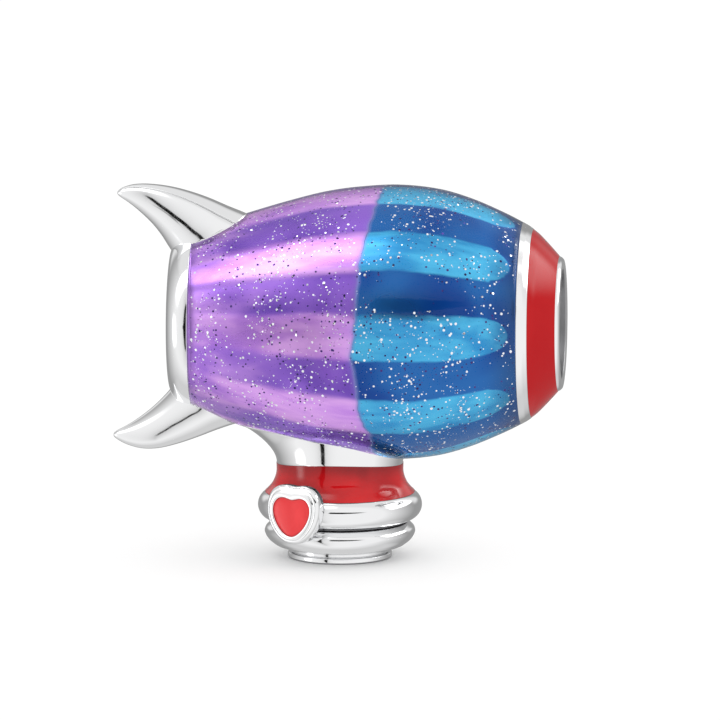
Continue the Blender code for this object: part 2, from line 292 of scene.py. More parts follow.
def bandGroup():
    # light colours on the lands, deep ones in the channels, partly the thicker enamel in the channels
    # and partly a painted reflection of the flutes, both brushed along X, darker towards Pool To
    group, given, made = newGroup("bands", [
        ("Land Share", "Float", 0.5), ("Edge", "Float", 0.3), ("Fray", "Float", 0.5),
        ("Land Color", "Color", (0.5, 0.5, 1, 1)), ("Bright Color", "Color", (0.8, 0.8, 1, 1)),
        ("Channel Color", "Color", (0.1, 0.1, 0.5, 1)), ("Dark Color", "Color", (0.02, 0.02, 0.2, 1)),
        ("Pool Color", "Color", (0.05, 0.1, 0.3, 1)),
        ("Pool From", "Float", 0.0066), ("Pool To", "Float", 0.0075),
        ("Join Share", "Float", 0.0), ("Join Color", "Color", (0.2, 0.24, 0.6, 1)),
    ], [("Color", "Color"), ("Roughness", "Float")])
    place = addNode(group, "ShaderNodeTexCoord")
    parts = addNode(group, "ShaderNodeSeparateXYZ")
    group.links.new(place.outputs["Object"], parts.inputs[0])

    def brushed(along, across, seed, detail):
        stretch = addNode(group, "ShaderNodeMapping")
        stretch.inputs["Location"].default_value = (seed, 0, 0)
        stretch.inputs["Scale"].default_value = (along, across, across)
        group.links.new(place.outputs["Object"], stretch.inputs["Vector"])
        streak = addNode(group, "ShaderNodeTexNoise", Scale=1.0, Detail=detail, Roughness=0.5,
                         Distortion=0.4)
        group.links.new(stretch.outputs["Vector"], streak.inputs["Vector"])
        return streak.outputs["Fac"]

    fine = brushed(420, 2600, 3.0, 3.0)
    wide = brushed(230, 620, 7.0, 2.0)
    broad = brushed(280, 420, 11.0, 1.0)
    fray = mathNode(group, "MULTIPLY", mathNode(group, "SUBTRACT", wide, 0.5), given.outputs["Fray"])
    thin = mathNode(group, "MULTIPLY", given.outputs["Fray"], 0.35)
    fray = mathNode(group, "MULTIPLY_ADD", mathNode(group, "SUBTRACT", fine, 0.5), thin, fray)
    share = mathNode(group, "ADD", given.outputs["Land Share"], fray)
    span = mathNode(group, "MULTIPLY", given.outputs["Edge"], 2.0)
    low = mathNode(group, "SUBTRACT", 0.5, given.outputs["Edge"])
    share = mathNode(group, "DIVIDE", mathNode(group, "SUBTRACT", share, low), span)
    share = mapRange(group, share, 0.0, 1.0, 0.0, 1.0)
    lights = mathNode(group, "MULTIPLY_ADD", fine, 0.3, mathNode(group, "MULTIPLY", wide, 0.7))
    lights = mapRange(group, lights, 0.36, 0.62, 0.0, 1.0)
    onLand = mixColours(group, lights, given.outputs["Land Color"], given.outputs["Bright Color"])
    shades = mapRange(group, broad, 0.36, 0.64, 0.0, 1.0)
    inChannel = mixColours(group, shades, given.outputs["Channel Color"], given.outputs["Dark Color"])
    # lands lighter than channels: thicker enamel in the channels, and in part a painted reflection of
    # the fluted silver
    colour = mixColours(group, share, inChannel, onLand)
    colour = mixColours(group, given.outputs["Join Share"], colour, given.outputs["Join Color"])
    pool = shareBetween(group, parts.outputs["X"], given.outputs["Pool From"], given.outputs["Pool To"])
    pool = mathNode(group, "MULTIPLY", mapRange(group, pool, 0.0, 1.0, 0.0, 1.0), 0.75)
    group.links.new(mixColours(group, pool, colour, given.outputs["Pool Color"]), made.inputs["Color"])
    group.links.new(mapRange(group, wide, 0.3, 0.7, 0.26, 0.36), made.inputs["Roughness"])
    return group


polish = polishGroup()
melt = meltGroup()
bands = bandGroup()


# Materials

def silverMaterial(name, **values):
    material, tree, shader = newMaterial(name)
    shader.inputs["Metallic"].default_value = 1.0
    made = useGroup(tree, polish, **values)
    tree.links.new(made.outputs["Color"], shader.inputs["Base Color"])
    tree.links.new(made.outputs["Roughness"], shader.inputs["Roughness"])
    bump = addNode(tree, "ShaderNodeBump", Strength=0.25, Distance=0.000004)
    tree.links.new(made.outputs["Height"], bump.inputs["Height"])
    tree.links.new(bump.outputs["Normal"], shader.inputs["Normal"])
    return material


def redMaterial(name, ior, ripple, **values):
    material, tree, shader = newMaterial(name)
    shader.inputs["IOR"].default_value = ior
    made = useGroup(tree, melt, **values)
    tree.links.new(made.outputs["Color"], shader.inputs["Base Color"])
    tree.links.new(made.outputs["Roughness"], shader.inputs["Roughness"])
    bump = addNode(tree, "ShaderNodeBump", Strength=0.6, Distance=ripple)
    tree.links.new(made.outputs["Height"], bump.inputs["Height"])
    tree.links.new(bump.outputs["Normal"], shader.inputs["Normal"])
    return material


def bandMaterial(name, haze, coatIor, **values):
    material, tree, shader = newMaterial(name)
    shader.inputs["Metallic"].default_value = 1.0
    shader.inputs["Coat Weight"].default_value = haze
    shader.inputs["Coat Roughness"].default_value = 0.3
    shader.inputs["Coat IOR"].default_value = coatIor
    share = addNode(tree, "ShaderNodeAttribute", attribute_name="landShare")
    join = addNode(tree, "ShaderNodeAttribute", attribute_name="joinShare")
    made = useGroup(tree, bands, landShare=share.outputs["Fac"], joinShare=join.outputs["Fac"], **values)
    tree.links.new(made.outputs["Color"], shader.inputs["Base Color"])
    tree.links.new(made.outputs["Roughness"], shader.inputs["Roughness"])
    return material


def clearMaterial(name):
    material, tree, shader = newMaterial(name)
    shader.inputs["Transmission Weight"].default_value = 1.0
    shader.inputs["IOR"].default_value = 1.27
    place = addNode(tree, "ShaderNodeTexCoord")
    wave = addNode(tree, "ShaderNodeTexNoise", Scale=420.0, Detail=1.0)
    tree.links.new(place.outputs["Object"], wave.inputs["Vector"])
    tree.links.new(mapRange(tree, wave.outputs["Fac"], 0.3, 0.7, 0.0, 0.025), shader.inputs["Roughness"])
    tint = mixColours(tree, wave.outputs["Fac"], (1.0, 1.0, 1.0), (0.96, 0.965, 0.985))
    tree.links.new(tint, shader.inputs["Base Color"])
    return material


def flakeMaterial(name, first, second, roughness):
    material, tree, shader = newMaterial(name)
    shader.inputs["Metallic"].default_value = 1.0
    tone = addNode(tree, "ShaderNodeAttribute", attribute_name="flakeTone")
    tree.links.new(mixColours(tree, tone.outputs["Fac"], first, second), shader.inputs["Base Color"])
    rough = mapRange(tree, tone.outputs["Fac"], 0.0, 1.0, roughness, roughness + 0.15)
    tree.links.new(rough, shader.inputs["Roughness"])
    return material


silver = silverMaterial("polished_silver")
# rough silver for the bore, with painted shade darkening its colour to dark grey
boreSilverPaintedShade = silverMaterial(
    "bore_silver_painted_shade", lightTone=(0.36, 0.36, 0.365, 1), darkTone=(0.26, 0.26, 0.27, 1),
    lowRoughness=0.3, highRoughness=0.42)
noseRed = redMaterial(
    "nose_red_enamel", 1.28, 0.000004, deepColor=(0.44, 0.004, 0.007, 1),
    lightColor=(0.49, 0.007, 0.010, 1), scale=300.0)
# the wall's top gets a painted shadow from the barrel above
wallRed = redMaterial(
    "wall_red_enamel", 1.45, 0.0001, deepColor=(0.38, 0.003, 0.006, 1),
    lightColor=(0.60, 0.008, 0.011, 1), scale=420.0, deepFrom=0.0034, deepTo=0.0042)
heartRed = redMaterial(
    "heart_red_enamel", 1.3, 0.000008, deepColor=(0.74, 0.045, 0.05, 1),
    lightColor=(0.82, 0.06, 0.065, 1), scale=900.0)
purple = bandMaterial(
    "purple_glitter_enamel", 0.5, 1.75,
    landColor=(0.56, 0.22, 0.84, 1), brightColor=(0.82, 0.42, 0.98, 1),
    channelColor=(0.29, 0.11, 0.70, 1), darkColor=(0.15, 0.04, 0.50, 1),
    poolColor=(0.20, 0.07, 0.42, 1), poolFrom=-0.0056, poolTo=-0.0061, edge=0.42, fray=0.7)
blue = bandMaterial(
    "blue_glitter_enamel", 0.06, 1.5,
    landColor=(0.028, 0.29, 0.64, 1), brightColor=(0.085, 0.53, 0.86, 1),
    channelColor=(0.016, 0.14, 0.45, 1), darkColor=(0.003, 0.06, 0.32, 1),
    poolColor=(0.02, 0.07, 0.20, 1), poolFrom=0.0060, poolTo=0.0076, edge=0.2, fray=0.75)
clear = clearMaterial("clear_enamel")
brightFlake = flakeMaterial("silver_glitter", (0.98, 0.98, 1.0), (0.9, 0.92, 0.97), 0.08)
darkFlake = flakeMaterial("shaded_glitter", (0.02, 0.012, 0.09), (0.09, 0.05, 0.26), 0.2)
print("materials made")


# Envelope

envelope = {  # mm and degrees
    "tailSeam": -6.07, "noseSeam": 7.54,
    "landDepth": 0.265, "channelDepth": 0.30, "underDepth": 0.36,
    "flutes": 9, "fluteTurn": 2.0, "landHalf": 10.3, "wallHalf": 3.0, "edgeWobble": 1.3,
    "rows": 44, "rise": 0.16, "join": 0.14, "joinShare": 0.8,
    "splitNear": 1.15, "splitMiddle": 0.93, "splitSpread": 0.8, "splitRagged": 0.2,
    "fadeLength": 5.4, "fadeShare": 0.52,  # towards the tail the lands and channels melt together
    "endFrom": 6.15, "endTo": 7.2,  # x between which each blue land ends in a round tongue
    "skinGap": 0.03, "coreGap": 0.01, "coreWall": 0.57, "around": 256, "coreAround": 160,
    "barrel": (  # x, radius
        (-6.80, 3.22), (-6.07, 3.56), (-4.74, 4.12), (-3.47, 4.55), (-1.91, 5.02), (-0.58, 5.36),
        (0.74, 5.56), (2.40, 5.66), (4.06, 5.50), (5.38, 5.13), (6.70, 4.58), (7.54, 4.16), (8.20, 3.77),
    ),
}


def barrelRadius(x):
    # smooth profile through the barrel's table
    points = envelope["barrel"]
    x = min(max(x, points[0][0]), points[-1][0])
    i = max(k for k in range(len(points) - 1) if points[k][0] <= x)
    p0, p1 = points[max(i - 1, 0)], points[i]
    p2, p3 = points[i + 1], points[min(i + 2, len(points) - 1)]
    span = p2[0] - p1[0]
    t = (x - p1[0]) / span
    slopeA = (p2[1] - p0[1]) / (p2[0] - p0[0]) * span
    slopeB = (p3[1] - p1[1]) / (p3[0] - p1[0]) * span
    return (p1[1] * (2 * t ** 3 - 3 * t ** 2 + 1) + slopeA * (t ** 3 - 2 * t ** 2 + t)
            + p2[1] * (3 * t ** 2 - 2 * t ** 3) + slopeB * (t ** 3 - t ** 2))


def onBarrel(x, angle, radius):
    return (x, -radius * math.cos(angle), axisHeight + radius * math.sin(angle))


def fluteRow(x):
    # angles round the axis with the share of land at each, denser on the walls of the channels
    row = []
    edges = []
    wall = envelope["wallHalf"]
    for k in range(envelope["flutes"]):
        middle = k * 360 / envelope["flutes"] + envelope["fluteTurn"]
        for side in (-1, 1):
            wander = noise.noise(Vector((x * 0.35, k * 3.1, side * 1.7)))
            wander += 0.3 * noise.noise(Vector((x * 2.1, k * 5.3, side)))
            edges.append(middle + side * envelope["landHalf"] + envelope["edgeWobble"] * wander)
    for k in range(len(edges)):
        rising = k % 2 == 0
        following = edges[k + 1] if k + 1 < len(edges) else edges[0] + 360
        for step in range(8):
            t = step / 7
            share = t * t * (3 - 2 * t)
            row.append((edges[k] + wall * (2 * t - 1), share if rising else 1 - share))
        for step in range(1, 7):
            t = step / 7
            flat = (following - edges[k] - 2 * wall) * t
            row.append((edges[k] + wall + flat, 1.0 if rising else 0.0))
    return row


def roundEnd(x, degrees):
    # share of a land that is left where it ends in a round tongue short of the nose ring
    along = max(0.0, x - envelope["endFrom"]) / (envelope["endTo"] - envelope["endFrom"])
    pitch = 360 / envelope["flutes"]
    across = ((degrees - envelope["fluteTurn"] + pitch / 2) % pitch - pitch / 2) / envelope["landHalf"]
    reach = math.hypot(along, across * min(1.0, along * 3))
    left = min(1.0, max(0.0, (1.1 - reach) / 0.25))
    return left * left * (3 - 2 * left)


def splitLine(angle):
    # x of the ragged line where purple meets blue
    ragged = noise.noise(Vector((math.cos(angle) * 3.2, math.sin(angle) * 3.2, 4.0)))
    ragged += 0.45 * noise.noise(Vector((math.cos(angle) * 14, math.sin(angle) * 14, 9.0)))
    straight = envelope["splitMiddle"] + envelope["splitSpread"] * math.sin(angle) ** 2
    return straight + envelope["splitRagged"] * ragged


def withoutShadow(piece):
    # the floor keeps just the shadow near the foot
    piece.visible_shadow = piece.visible_diffuse = False


def inStudioLight(piece):
    # polished parts mirror the studio and not this piece
    withoutShadow(piece)
    piece.visible_glossy = False


def keepValues(piece, name, values):
    # a number for each corner of the mesh, for its material to read
    attribute = piece.data.attributes.new(name, "FLOAT", "POINT")
    attribute.data.foreach_set("value", values)


def enamelColour(name, isFront, material, replaced):
    # a layer of colour from one metal ring to the ragged line between the two colours
    rows = envelope["rows"]
    seam = envelope["noseSeam"] if isFront else envelope["tailSeam"]
    lap = 0.0 if isFront else 0.05  # the purple runs on a little under the blue
    rings = []
    shares = []
    joins = []

    def addRing(t, extra, under=False):
        ring = []
        deep, shallow = envelope["channelDepth"], envelope["landDepth"]
        for degrees, share in fluteRow(seam + (envelope["splitNear"] - seam) * t):
            angle = math.radians(degrees)
            x = seam + (splitLine(angle) + lap - seam) * t
            share *= roundEnd(x, degrees)
            depth = envelope["underDepth"]
            if not under:  # the colour comes up at the metal rings
                depth = deep + (shallow - deep) * share + extra
                depth -= (depth - 0.02) * max(0.0, 1 - abs(x - seam) / envelope["rise"]) ** 2
            ring.append(onBarrel(x, angle, barrelRadius(x) - depth))
            nearJoin = max(0.0, 1 - abs(splitLine(angle) - x) / envelope["join"])
            joins.append(envelope["joinShare"] * nearJoin)
            fade = min(1.0, max(0.0, (x - envelope["tailSeam"]) / envelope["fadeLength"]))
            shares.append(envelope["fadeShare"] + (share - envelope["fadeShare"]) * fade)
        rings.append(ring)

    for t in (0.0, 0.006, 0.012, 0.018):
        addRing(t, 0.0)
    for step in range(1, rows):
        addRing(step / rows, 0.0)
    for t in (0.984, 0.99, 0.995, 1.0):
        addRing(t, 0.0 if isFront else 0.003)
    addRing(1.0, 0.02)
    for step in range(rows, -1, -4):
        addRing(step / rows, 0.0, under=True)
    vertices, faces = ringsToMesh(rings, closed=True)
    piece = newPiece(name, vertices, faces, material, replaced)
    outward(piece)
    keepValues(piece, "landShare", shares)
    keepValues(piece, "joinShare", joins)
    inStudioLight(piece)


enamelColour("purple_enamel_layer", False, purple, ["envelope_rear"])
enamelColour("blue_enamel_layer", True, blue, ["envelope_front"])


def spread(low, high, count):
    return [low + (high - low) * i / (count - 1) for i in range(count)]


def shell(outer, inner, overlap, outerCount, innerCount):
    # closed section between two depths under the barrel's surface
    section = [(x, barrelRadius(x) - outer) for x in spread(nose + overlap, tail - overlap, outerCount)]
    section += [(x, barrelRadius(x) - inner) for x in spread(tail - overlap, nose + overlap, innerCount)]
    return section


tail, nose = envelope["tailSeam"], envelope["noseSeam"]
floorDepth = envelope["channelDepth"] + envelope["skinGap"]
section = shell(0.0, floorDepth, envelope["skinGap"], 64, 32)
inStudioLight(turned("clear_enamel_skin", section, envelope["around"], "x", clear, ()))
section = shell(floorDepth, floorDepth + envelope["coreWall"], -envelope["coreGap"], 40, 40)
around = envelope["coreAround"]
inStudioLight(turned("barrel_core", section, around, "x", boreSilverPaintedShade, ["envelope_core"]))
print("envelope made")


# Glitter in the enamel

glitter = {  # sizes and depths in mm
    "seed": 41, "bright": 5200, "dark": 4200, "darkScale": 0.95, "smallest": 0.014, "largest": 0.062,
    "tilt": 0.3, "nearest": 0.03, "deepest": 0.2, "thickness": 0.004, "fromSeam": 0.1, "corners": 6,
}


def flakes(name, count, scale, material, seed):
    # flat six-cornered grains, crowded in some places, that lie nearly along the barrel
    corners = glitter["corners"]
    chance = random.Random(seed)
    vertices = []
    faces = []
    tones = []
    while len(tones) < count * (corners + 2):
        x = chance.uniform(tail + glitter["fromSeam"], nose - glitter["fromSeam"])
        radius = barrelRadius(x)
        if chance.random() > radius / 5.7:
            continue
        angle = chance.uniform(0, 2 * math.pi)
        crowd = noise.noise(Vector((x * 0.6, math.cos(angle) * 2.6, math.sin(angle) * 2.6)))
        if chance.random() > 0.5 + 1.2 * crowd:
            continue
        slope = (barrelRadius(x + 0.05) - barrelRadius(x - 0.05)) / 0.1
        outwards = Vector((-slope, -math.cos(angle), math.sin(angle))).normalized()
        lean = Vector([chance.gauss(0, 0.5) for _ in range(3)])
        tilted = (outwards + glitter["tilt"] * lean).normalized()
        side = tilted.orthogonal().normalized()
        other = tilted.cross(side)
        sunk = chance.uniform(glitter["nearest"], glitter["deepest"])
        centre = Vector(onBarrel(x, angle, radius)) - outwards * sunk
        growth = chance.random() ** 2.6  # few are large
        size = scale * (glitter["smallest"] + (glitter["largest"] - glitter["smallest"]) * growth)
        start = len(vertices)
        turn = chance.random() * 6.3
        for i in range(corners):
            a = turn + i * 2 * math.pi / corners
            vertices.append(tuple(centre + size * (math.cos(a) * side + math.sin(a) * other)))
        vertices.append(tuple(centre + tilted * glitter["thickness"] / 2))
        vertices.append(tuple(centre - tilted * glitter["thickness"] / 2))
        for i in range(corners):
            j = (i + 1) % corners
            faces.append((start + i, start + j, start + corners))
            faces.append((start + j, start + i, start + corners + 1))
        tones += [chance.random()] * (corners + 2)
    piece = newPiece(name, vertices, faces, material)
    piece.data.polygons.foreach_set("use_smooth", [False] * len(piece.data.polygons))
    keepValues(piece, "flakeTone", tones)
    inStudioLight(piece)


flakes("bright_glitter", glitter["bright"], 1.0, brightFlake, glitter["seed"])
flakes("shaded_glitter", glitter["dark"], glitter["darkScale"], darkFlake, glitter["seed"] + 1)
print("glitter made")


# Nose and tail

noseRing = {
    "section": (  # x, radius, round
        (7.54, 4.165, 0.02), (7.77, 4.04, 0.05), (7.98, 3.89, 0.04), (7.93, 3.72, 0.02),
        (8.90, 2.67, 0.02), (8.77, 2.50, 0), (8.62, 2.50, 0), (7.62, 3.55, 0), (7.53, 3.72, 0),
    ),
}
around = envelope["around"]
section = roundCorners(noseRing["section"])
withoutShadow(turned("nose_ring_polished", section, around, "x", silver, ["nose_ring"]))

noseBand = {  # a slightly hollow cone between the two rims
    "face": (  # x, radius
        (7.955, 3.895), (8.20, 3.70), (8.45, 3.45), (8.70, 3.185), (8.93, 2.93), (9.08, 2.755),
    ),
    "back": ((9.00, 2.62), (7.95, 3.72)),
}
section = blendRows(noseBand["face"], 6) + list(noseBand["back"])
inStudioLight(turned("nose_band_red", section, around, "x", noseRed, ["nose_band"]))

noseRim = {
    "section": (  # x, radius, round
        (9.04, 2.79, 0.02), (9.14, 2.745, 0.04), (9.225, 2.66, 0.05), (9.25, 2.45, 0.09),
        (9.19, 2.255, 0.04), (8.45, 2.25, 0.03), (8.45, 2.50, 0), (8.75, 2.50, 0), (8.94, 2.62, 0),
    ),
    "bore": 2.27,  # faces nearer to the axis than this are left rough as cast, and painted shade makes them dark grey
}
section = roundCorners(noseRim["section"])
piece = turned("nose_rim_polished", section, around, "x", silver, ["nose_rim"])
withoutShadow(piece)
piece.data.materials.append(boreSilverPaintedShade)
for polygon in piece.data.polygons:
    middle = polygon.center / mm
    if math.hypot(middle.y, middle.z - axisHeight) < noseRim["bore"]:
        polygon.material_index = 1

tailRing = {
    "curve": (  # x, radius
        (-6.075, 3.575), (-6.25, 3.538), (-6.45, 3.465), (-6.65, 3.345), (-6.81, 3.19), (-6.92, 3.02),
        (-6.985, 2.82), (-7.0, 2.55), (-6.99, 2.38), (-6.94, 2.28), (-6.84, 2.25), (-6.55, 2.25),
    ),
    "inside": ((-6.42, 2.27), (-6.30, 2.62), (-6.075, 3.00)),
}
section = blendRows(tailRing["curve"], 6) + list(tailRing["inside"])
withoutShadow(turned("tail_ring_polished", section, around, "x", silver, ["tail_ring"]))
print("nose and tail made")


# Tail fins

fins = {
    # root to tip: outer edge x and z, inner edge x and z, half thickness. z is from the axis
    "upper": (
        (-3.20, 4.10, -6.20, 1.60, 1.60), (-3.90, 4.45, -6.75, 2.55, 1.38),
        (-4.62, 4.74, -7.08, 3.05, 1.20), (-5.42, 5.08, -7.38, 3.52, 1.02),
        (-6.25, 5.36, -7.72, 3.95, 0.85), (-7.05, 5.55, -8.10, 4.33, 0.68),
        (-7.85, 5.64, -8.48, 4.66, 0.50), (-8.50, 5.62, -8.80, 4.90, 0.34),
        (-8.98, 5.48, -9.03, 5.05, 0.20), (-9.17, 5.34, -9.15, 5.14, 0.10),
        (-9.205, 5.27, -9.20, 5.21, 0.05),
    ),
    "lower": (
        (-3.55, -4.10, -6.20, -1.60, 1.60), (-4.30, -4.32, -6.72, -2.50, 1.40),
        (-5.05, -4.58, -7.05, -2.95, 1.22), (-5.85, -4.90, -7.38, -3.32, 1.04),
        (-6.70, -5.20, -7.74, -3.67, 0.86), (-7.50, -5.40, -8.14, -4.00, 0.68),
        (-8.20, -5.42, -8.56, -4.30, 0.50), (-8.80, -5.27, -8.92, -4.52, 0.34),
        (-9.20, -5.07, -9.19, -4.66, 0.20), (-9.35, -4.95, -9.34, -4.77, 0.10),
        (-9.375, -4.89, -9.37, -4.84, 0.05),
    ),
    "around": 72, "between": 6, "sink": 0.025,
    "grooveAt": 45.0, "grooveWide": 1.8, "upperGroove": 0.08, "lowerGroove": 0.0,
}


def finPiece(name, rows, groove, replaced):
    turns = [360 * i / fins["around"] for i in range(fins["around"])]
    for side in (-1, 1):  # more points where the groove is
        turns += [(side * (fins["grooveAt"] + step) + 0.1) % 360 for step in range(-3, 4)]
    turns = sorted(turns)
    rings = []
    for outerX, outerZ, innerX, innerZ, thick in blendRows(rows, fins["between"]):
        ring = []
        for turn in turns:
            angle = math.radians(turn)
            along = math.cos(angle)
            fromGroove = abs(min(turn, 360 - turn) - fins["grooveAt"]) / fins["grooveWide"]
            side = thick * math.sin(angle) * (1.0 - groove * math.exp(-fromGroove ** 2))
            x = (outerX + innerX) / 2 + (outerX - innerX) / 2 * along
            z = (outerZ + innerZ) / 2 + (outerZ - innerZ) / 2 * along
            ring.append((x, side, axisHeight + z))
        rings.append(ring)
    vertices, faces = ringsToMesh(rings)
    piece = newPiece(name, vertices, faces, silver, [replaced])
    outward(piece)
    cut = piece.modifiers.new("bed", "BOOLEAN")  # the fin stands on the barrel, not through its wall
    cut.operation = "DIFFERENCE"
    cut.solver = "EXACT"
    cut.object = finBed
    bpy.context.view_layer.update()
    final = piece.evaluated_get(bpy.context.evaluated_depsgraph_get())
    shaped = bpy.data.meshes.new_from_object(final)
    piece.modifiers.clear()
    piece.data = shaped
    piece.data.polygons.foreach_set("use_smooth", [True] * len(shaped.polygons))
    withoutShadow(piece)


section = [(x, radius - 0.03) for x, radius in blendRows(tailRing["curve"][:7], 3)[::-1]]
section += [(x, barrelRadius(x) - fins["sink"]) for x in spread(-6.0, 2.0, 32)]
section += [(2.0, 1.0), (-6.95, 1.0)]
finBed = turned("fin_bed", section, 128, "x", silver, ())
finPiece("upper_fin_polished", fins["upper"], fins["upperGroove"], "tail_fin_upper")
finPiece("lower_fin_polished", fins["lower"], fins["lowerGroove"], "tail_fin_lower")
bpy.data.objects.remove(finBed, do_unlink=True)
print("fins made")


# Gondola

gondola = {
    "upperRing": {"radius": 2.788, "tube": 0.599, "z": 2.189, "steps": 48},
    "lowerRing": (  # radius, z
        (2.70, 1.578), (2.735, 1.50), (2.83, 1.465), (2.974, 1.346), (3.056, 1.26),
        (3.100, 1.15), (3.106, 1.07), (3.069, 0.962), (3.007, 0.851), (2.916, 0.739),
        (2.788, 0.636), (2.643, 0.537), (2.437, 0.475), (2.15, 0.455),
    ),
    "lowerInside": ((2.00, 0.455), (2.00, 1.578)),
    "foot": (  # radius, z, round
        (2.02, 0.47, 0), (2.00, 0.262, 0.03), (2.148, 0.225, 0.07), (2.148, 0.01, 0.09),
        (1.9, 0.0, 0.02), (1.7, 0.06, 0.02), (0.05, 0.06, 0), (0.05, 0.47, 0),
    ),
    "wall": (  # radius, z
        (2.612, 4.185), (2.622, 4.165), (2.618, 3.95), (2.618, 3.80), (2.631, 3.593),
        (2.676, 3.341), (2.77, 3.11), (2.87, 2.965), (2.978, 2.841), (3.09, 2.735),
    ),
    "wallInside": ((2.42, 2.70), (2.42, 4.185)),
    "saddle": 0.25, "saddleFrom": 3.2, "saddleRise": 0.98,  # the wall's top edge dips to nose and tail
    "around": 192, "footAround": 160,
}
around = gondola["around"]
ring = gondola["upperRing"]
section = []
for i in range(ring["steps"]):
    angle = 2 * math.pi * i / ring["steps"]
    radius = ring["radius"] + ring["tube"] * math.cos(angle)
    section.append((radius, ring["z"] + ring["tube"] * math.sin(angle)))
turned("upper_ring_polished", section, around, "z", silver, ["gondola_upper_ring"])
section = blendRows(gondola["lowerRing"], 4) + list(gondola["lowerInside"])
turned("lower_ring_polished", section, around, "z", silver, ["gondola_lower_ring"])
section = roundCorners(gondola["foot"])
turned("foot_polished", section, gondola["footAround"], "z", silver, ["foot_ring"])
section = blendRows(gondola["wall"], 5) + list(gondola["wallInside"])
piece = turned("red_wall", section, around, "z", wallRed, ["gondola_wall"])
piece.visible_glossy = False
for vertex in piece.data.vertices:
    x, y, z = vertex.co / mm
    share = min(1.0, max(0.0, (z - gondola["saddleFrom"]) / gondola["saddleRise"]))
    dip = gondola["saddle"] * x * x / (x * x + y * y)
    vertex.co.z -= dip * mm * share * share * (3 - 2 * share)
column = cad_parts["gondola_core"].data  # closed inside, the solid itself stays
column.materials.clear()
column.materials.append(silver)

neck = {
    "plug": 2.40, "plugZ": 3.88, "plugRise": 0.02, "baseZ": 4.18, "radius": 2.605,
    "tail": 1.8, "nose": 0.1, "sink": 0.05,  # how far it spreads each way, how far it sinks in
    "rise": 14, "inside": 5,
}


def undersideZ(x, y):
    # height of the barrel's underside above a point of the foot's plane
    return axisHeight - math.sqrt(max(barrelRadius(x) ** 2 - y * y, 0.01))


def neckPiece():
    edge = []
    for i in range(gondola["around"]):
        turn = 2 * math.pi * i / gondola["around"]
        c, s = math.cos(turn), math.sin(turn)
        edge.append((c, s, neck["tail"] * max(-c, 0) ** 4 + neck["nose"] * max(c, 0) ** 4))
    rings = []
    for z in (neck["plugZ"], neck["plugZ"] + neck["plugRise"]):
        rings.append([(neck["plug"] * c, neck["plug"] * s, z) for c, s, reach in edge])
    for row in range(neck["rise"] + 1):
        turn = 0.5 * math.pi * row / neck["rise"]
        ring = []
        for c, s, reach in edge:
            radius = neck["radius"] + reach * (1 - math.cos(turn))
            top = undersideZ(radius * c, radius * s) + neck["sink"]
            base = neck["baseZ"] - gondola["saddle"] * c * c
            ring.append((radius * c, radius * s, base + (top - base) * math.sin(turn)))
        rings.append(ring)
    for row in range(1, neck["inside"]):
        ring = []
        for c, s, reach in edge:
            radius = (neck["radius"] + reach) * (1 - row / neck["inside"])
            ring.append((radius * c, radius * s, undersideZ(radius * c, radius * s) + 2 * neck["sink"]))
        rings.append(ring)
    vertices, faces = ringsToMesh(rings)
    piece = newPiece("neck_polished", vertices, faces, silver, ["gondola_neck"])
    outward(piece)


neckPiece()
print("gondola made")


# Heart badge

badge = {
    "angle": math.radians(-29.0), "tilt": math.radians(4.0), "centreZ": 2.24, "face": 3.73,
    "frameHalf": 1.26, "frameHeight": 2.42, "heartHalf": 0.89, "heartHeight": 1.58, "heartDrop": 0.10,
    "puff": 0.15, "groove": 0.165, "rim": 0.18, "roll": 0.06, "pocket": 0.16,
    "frame": (  # half an outline, as shares of the half width and height
        (0.0, 0.012), (0.30, 0.0), (0.60, 0.022), (0.84, 0.11), (0.97, 0.25), (1.0, 0.40),
        (0.955, 0.56), (0.82, 0.73), (0.58, 0.88), (0.30, 0.975), (0.0, 1.0),
    ),
    "heart": (
        (0.0, 0.052), (0.20, 0.028), (0.46, 0.0), (0.74, 0.035), (0.94, 0.16), (1.0, 0.32),
        (0.94, 0.50), (0.76, 0.70), (0.50, 0.87), (0.24, 0.97), (0.0, 1.0),
    ),
}


def badgeRing(halfWidth, height, forward, heartShare):
    # an outline between the round frame and the heart
    points = [((f[0] + (h[0] - f[0]) * heartShare) * halfWidth, f[1] + (h[1] - f[1]) * heartShare)
              for f, h in zip(badge["frame"], badge["heart"])]
    mirrored = [(-points[1][0], points[1][1])] + points + [(-points[-2][0], points[-2][1])]
    drop = badge["heartDrop"] * heartShare
    right = [(u, (0.5 - v) * height - drop) for u, v in blendRows(mirrored, 8)[8:-8]]
    outline = right + [(-u, v) for u, v in right[-2:0:-1]]
    return [(u, -forward, v) for u, v in outline]


def seatBadge(piece):
    turn = Matrix.Rotation(badge["angle"], 4, "Z") @ Matrix.Rotation(-badge["tilt"], 4, "X")
    x, y = math.sin(badge["angle"]), -math.cos(badge["angle"])
    place = Matrix.Translation(Vector((badge["face"] * x, badge["face"] * y, badge["centreZ"])) * mm)
    piece.data.transform(place @ turn)


w, h = badge["frameHalf"], badge["frameHeight"]
hw, hh = badge["heartHalf"], badge["heartHeight"]
roll, rim = badge["roll"], badge["rim"]
steps = [(w - 0.06, h - 0.12, -0.66, 0), (w, h, -0.55, 0), (w, h, -0.34, 0)]
for i in range(9):  # puffed outer edge
    turn = 0.5 * math.pi * i / 8
    inset = badge["puff"] * (1 - math.cos(turn))
    steps.append((w - inset, h - 2 * inset, -0.06 - 0.2 * (1 - math.sin(turn)), 0.1 * i / 8))
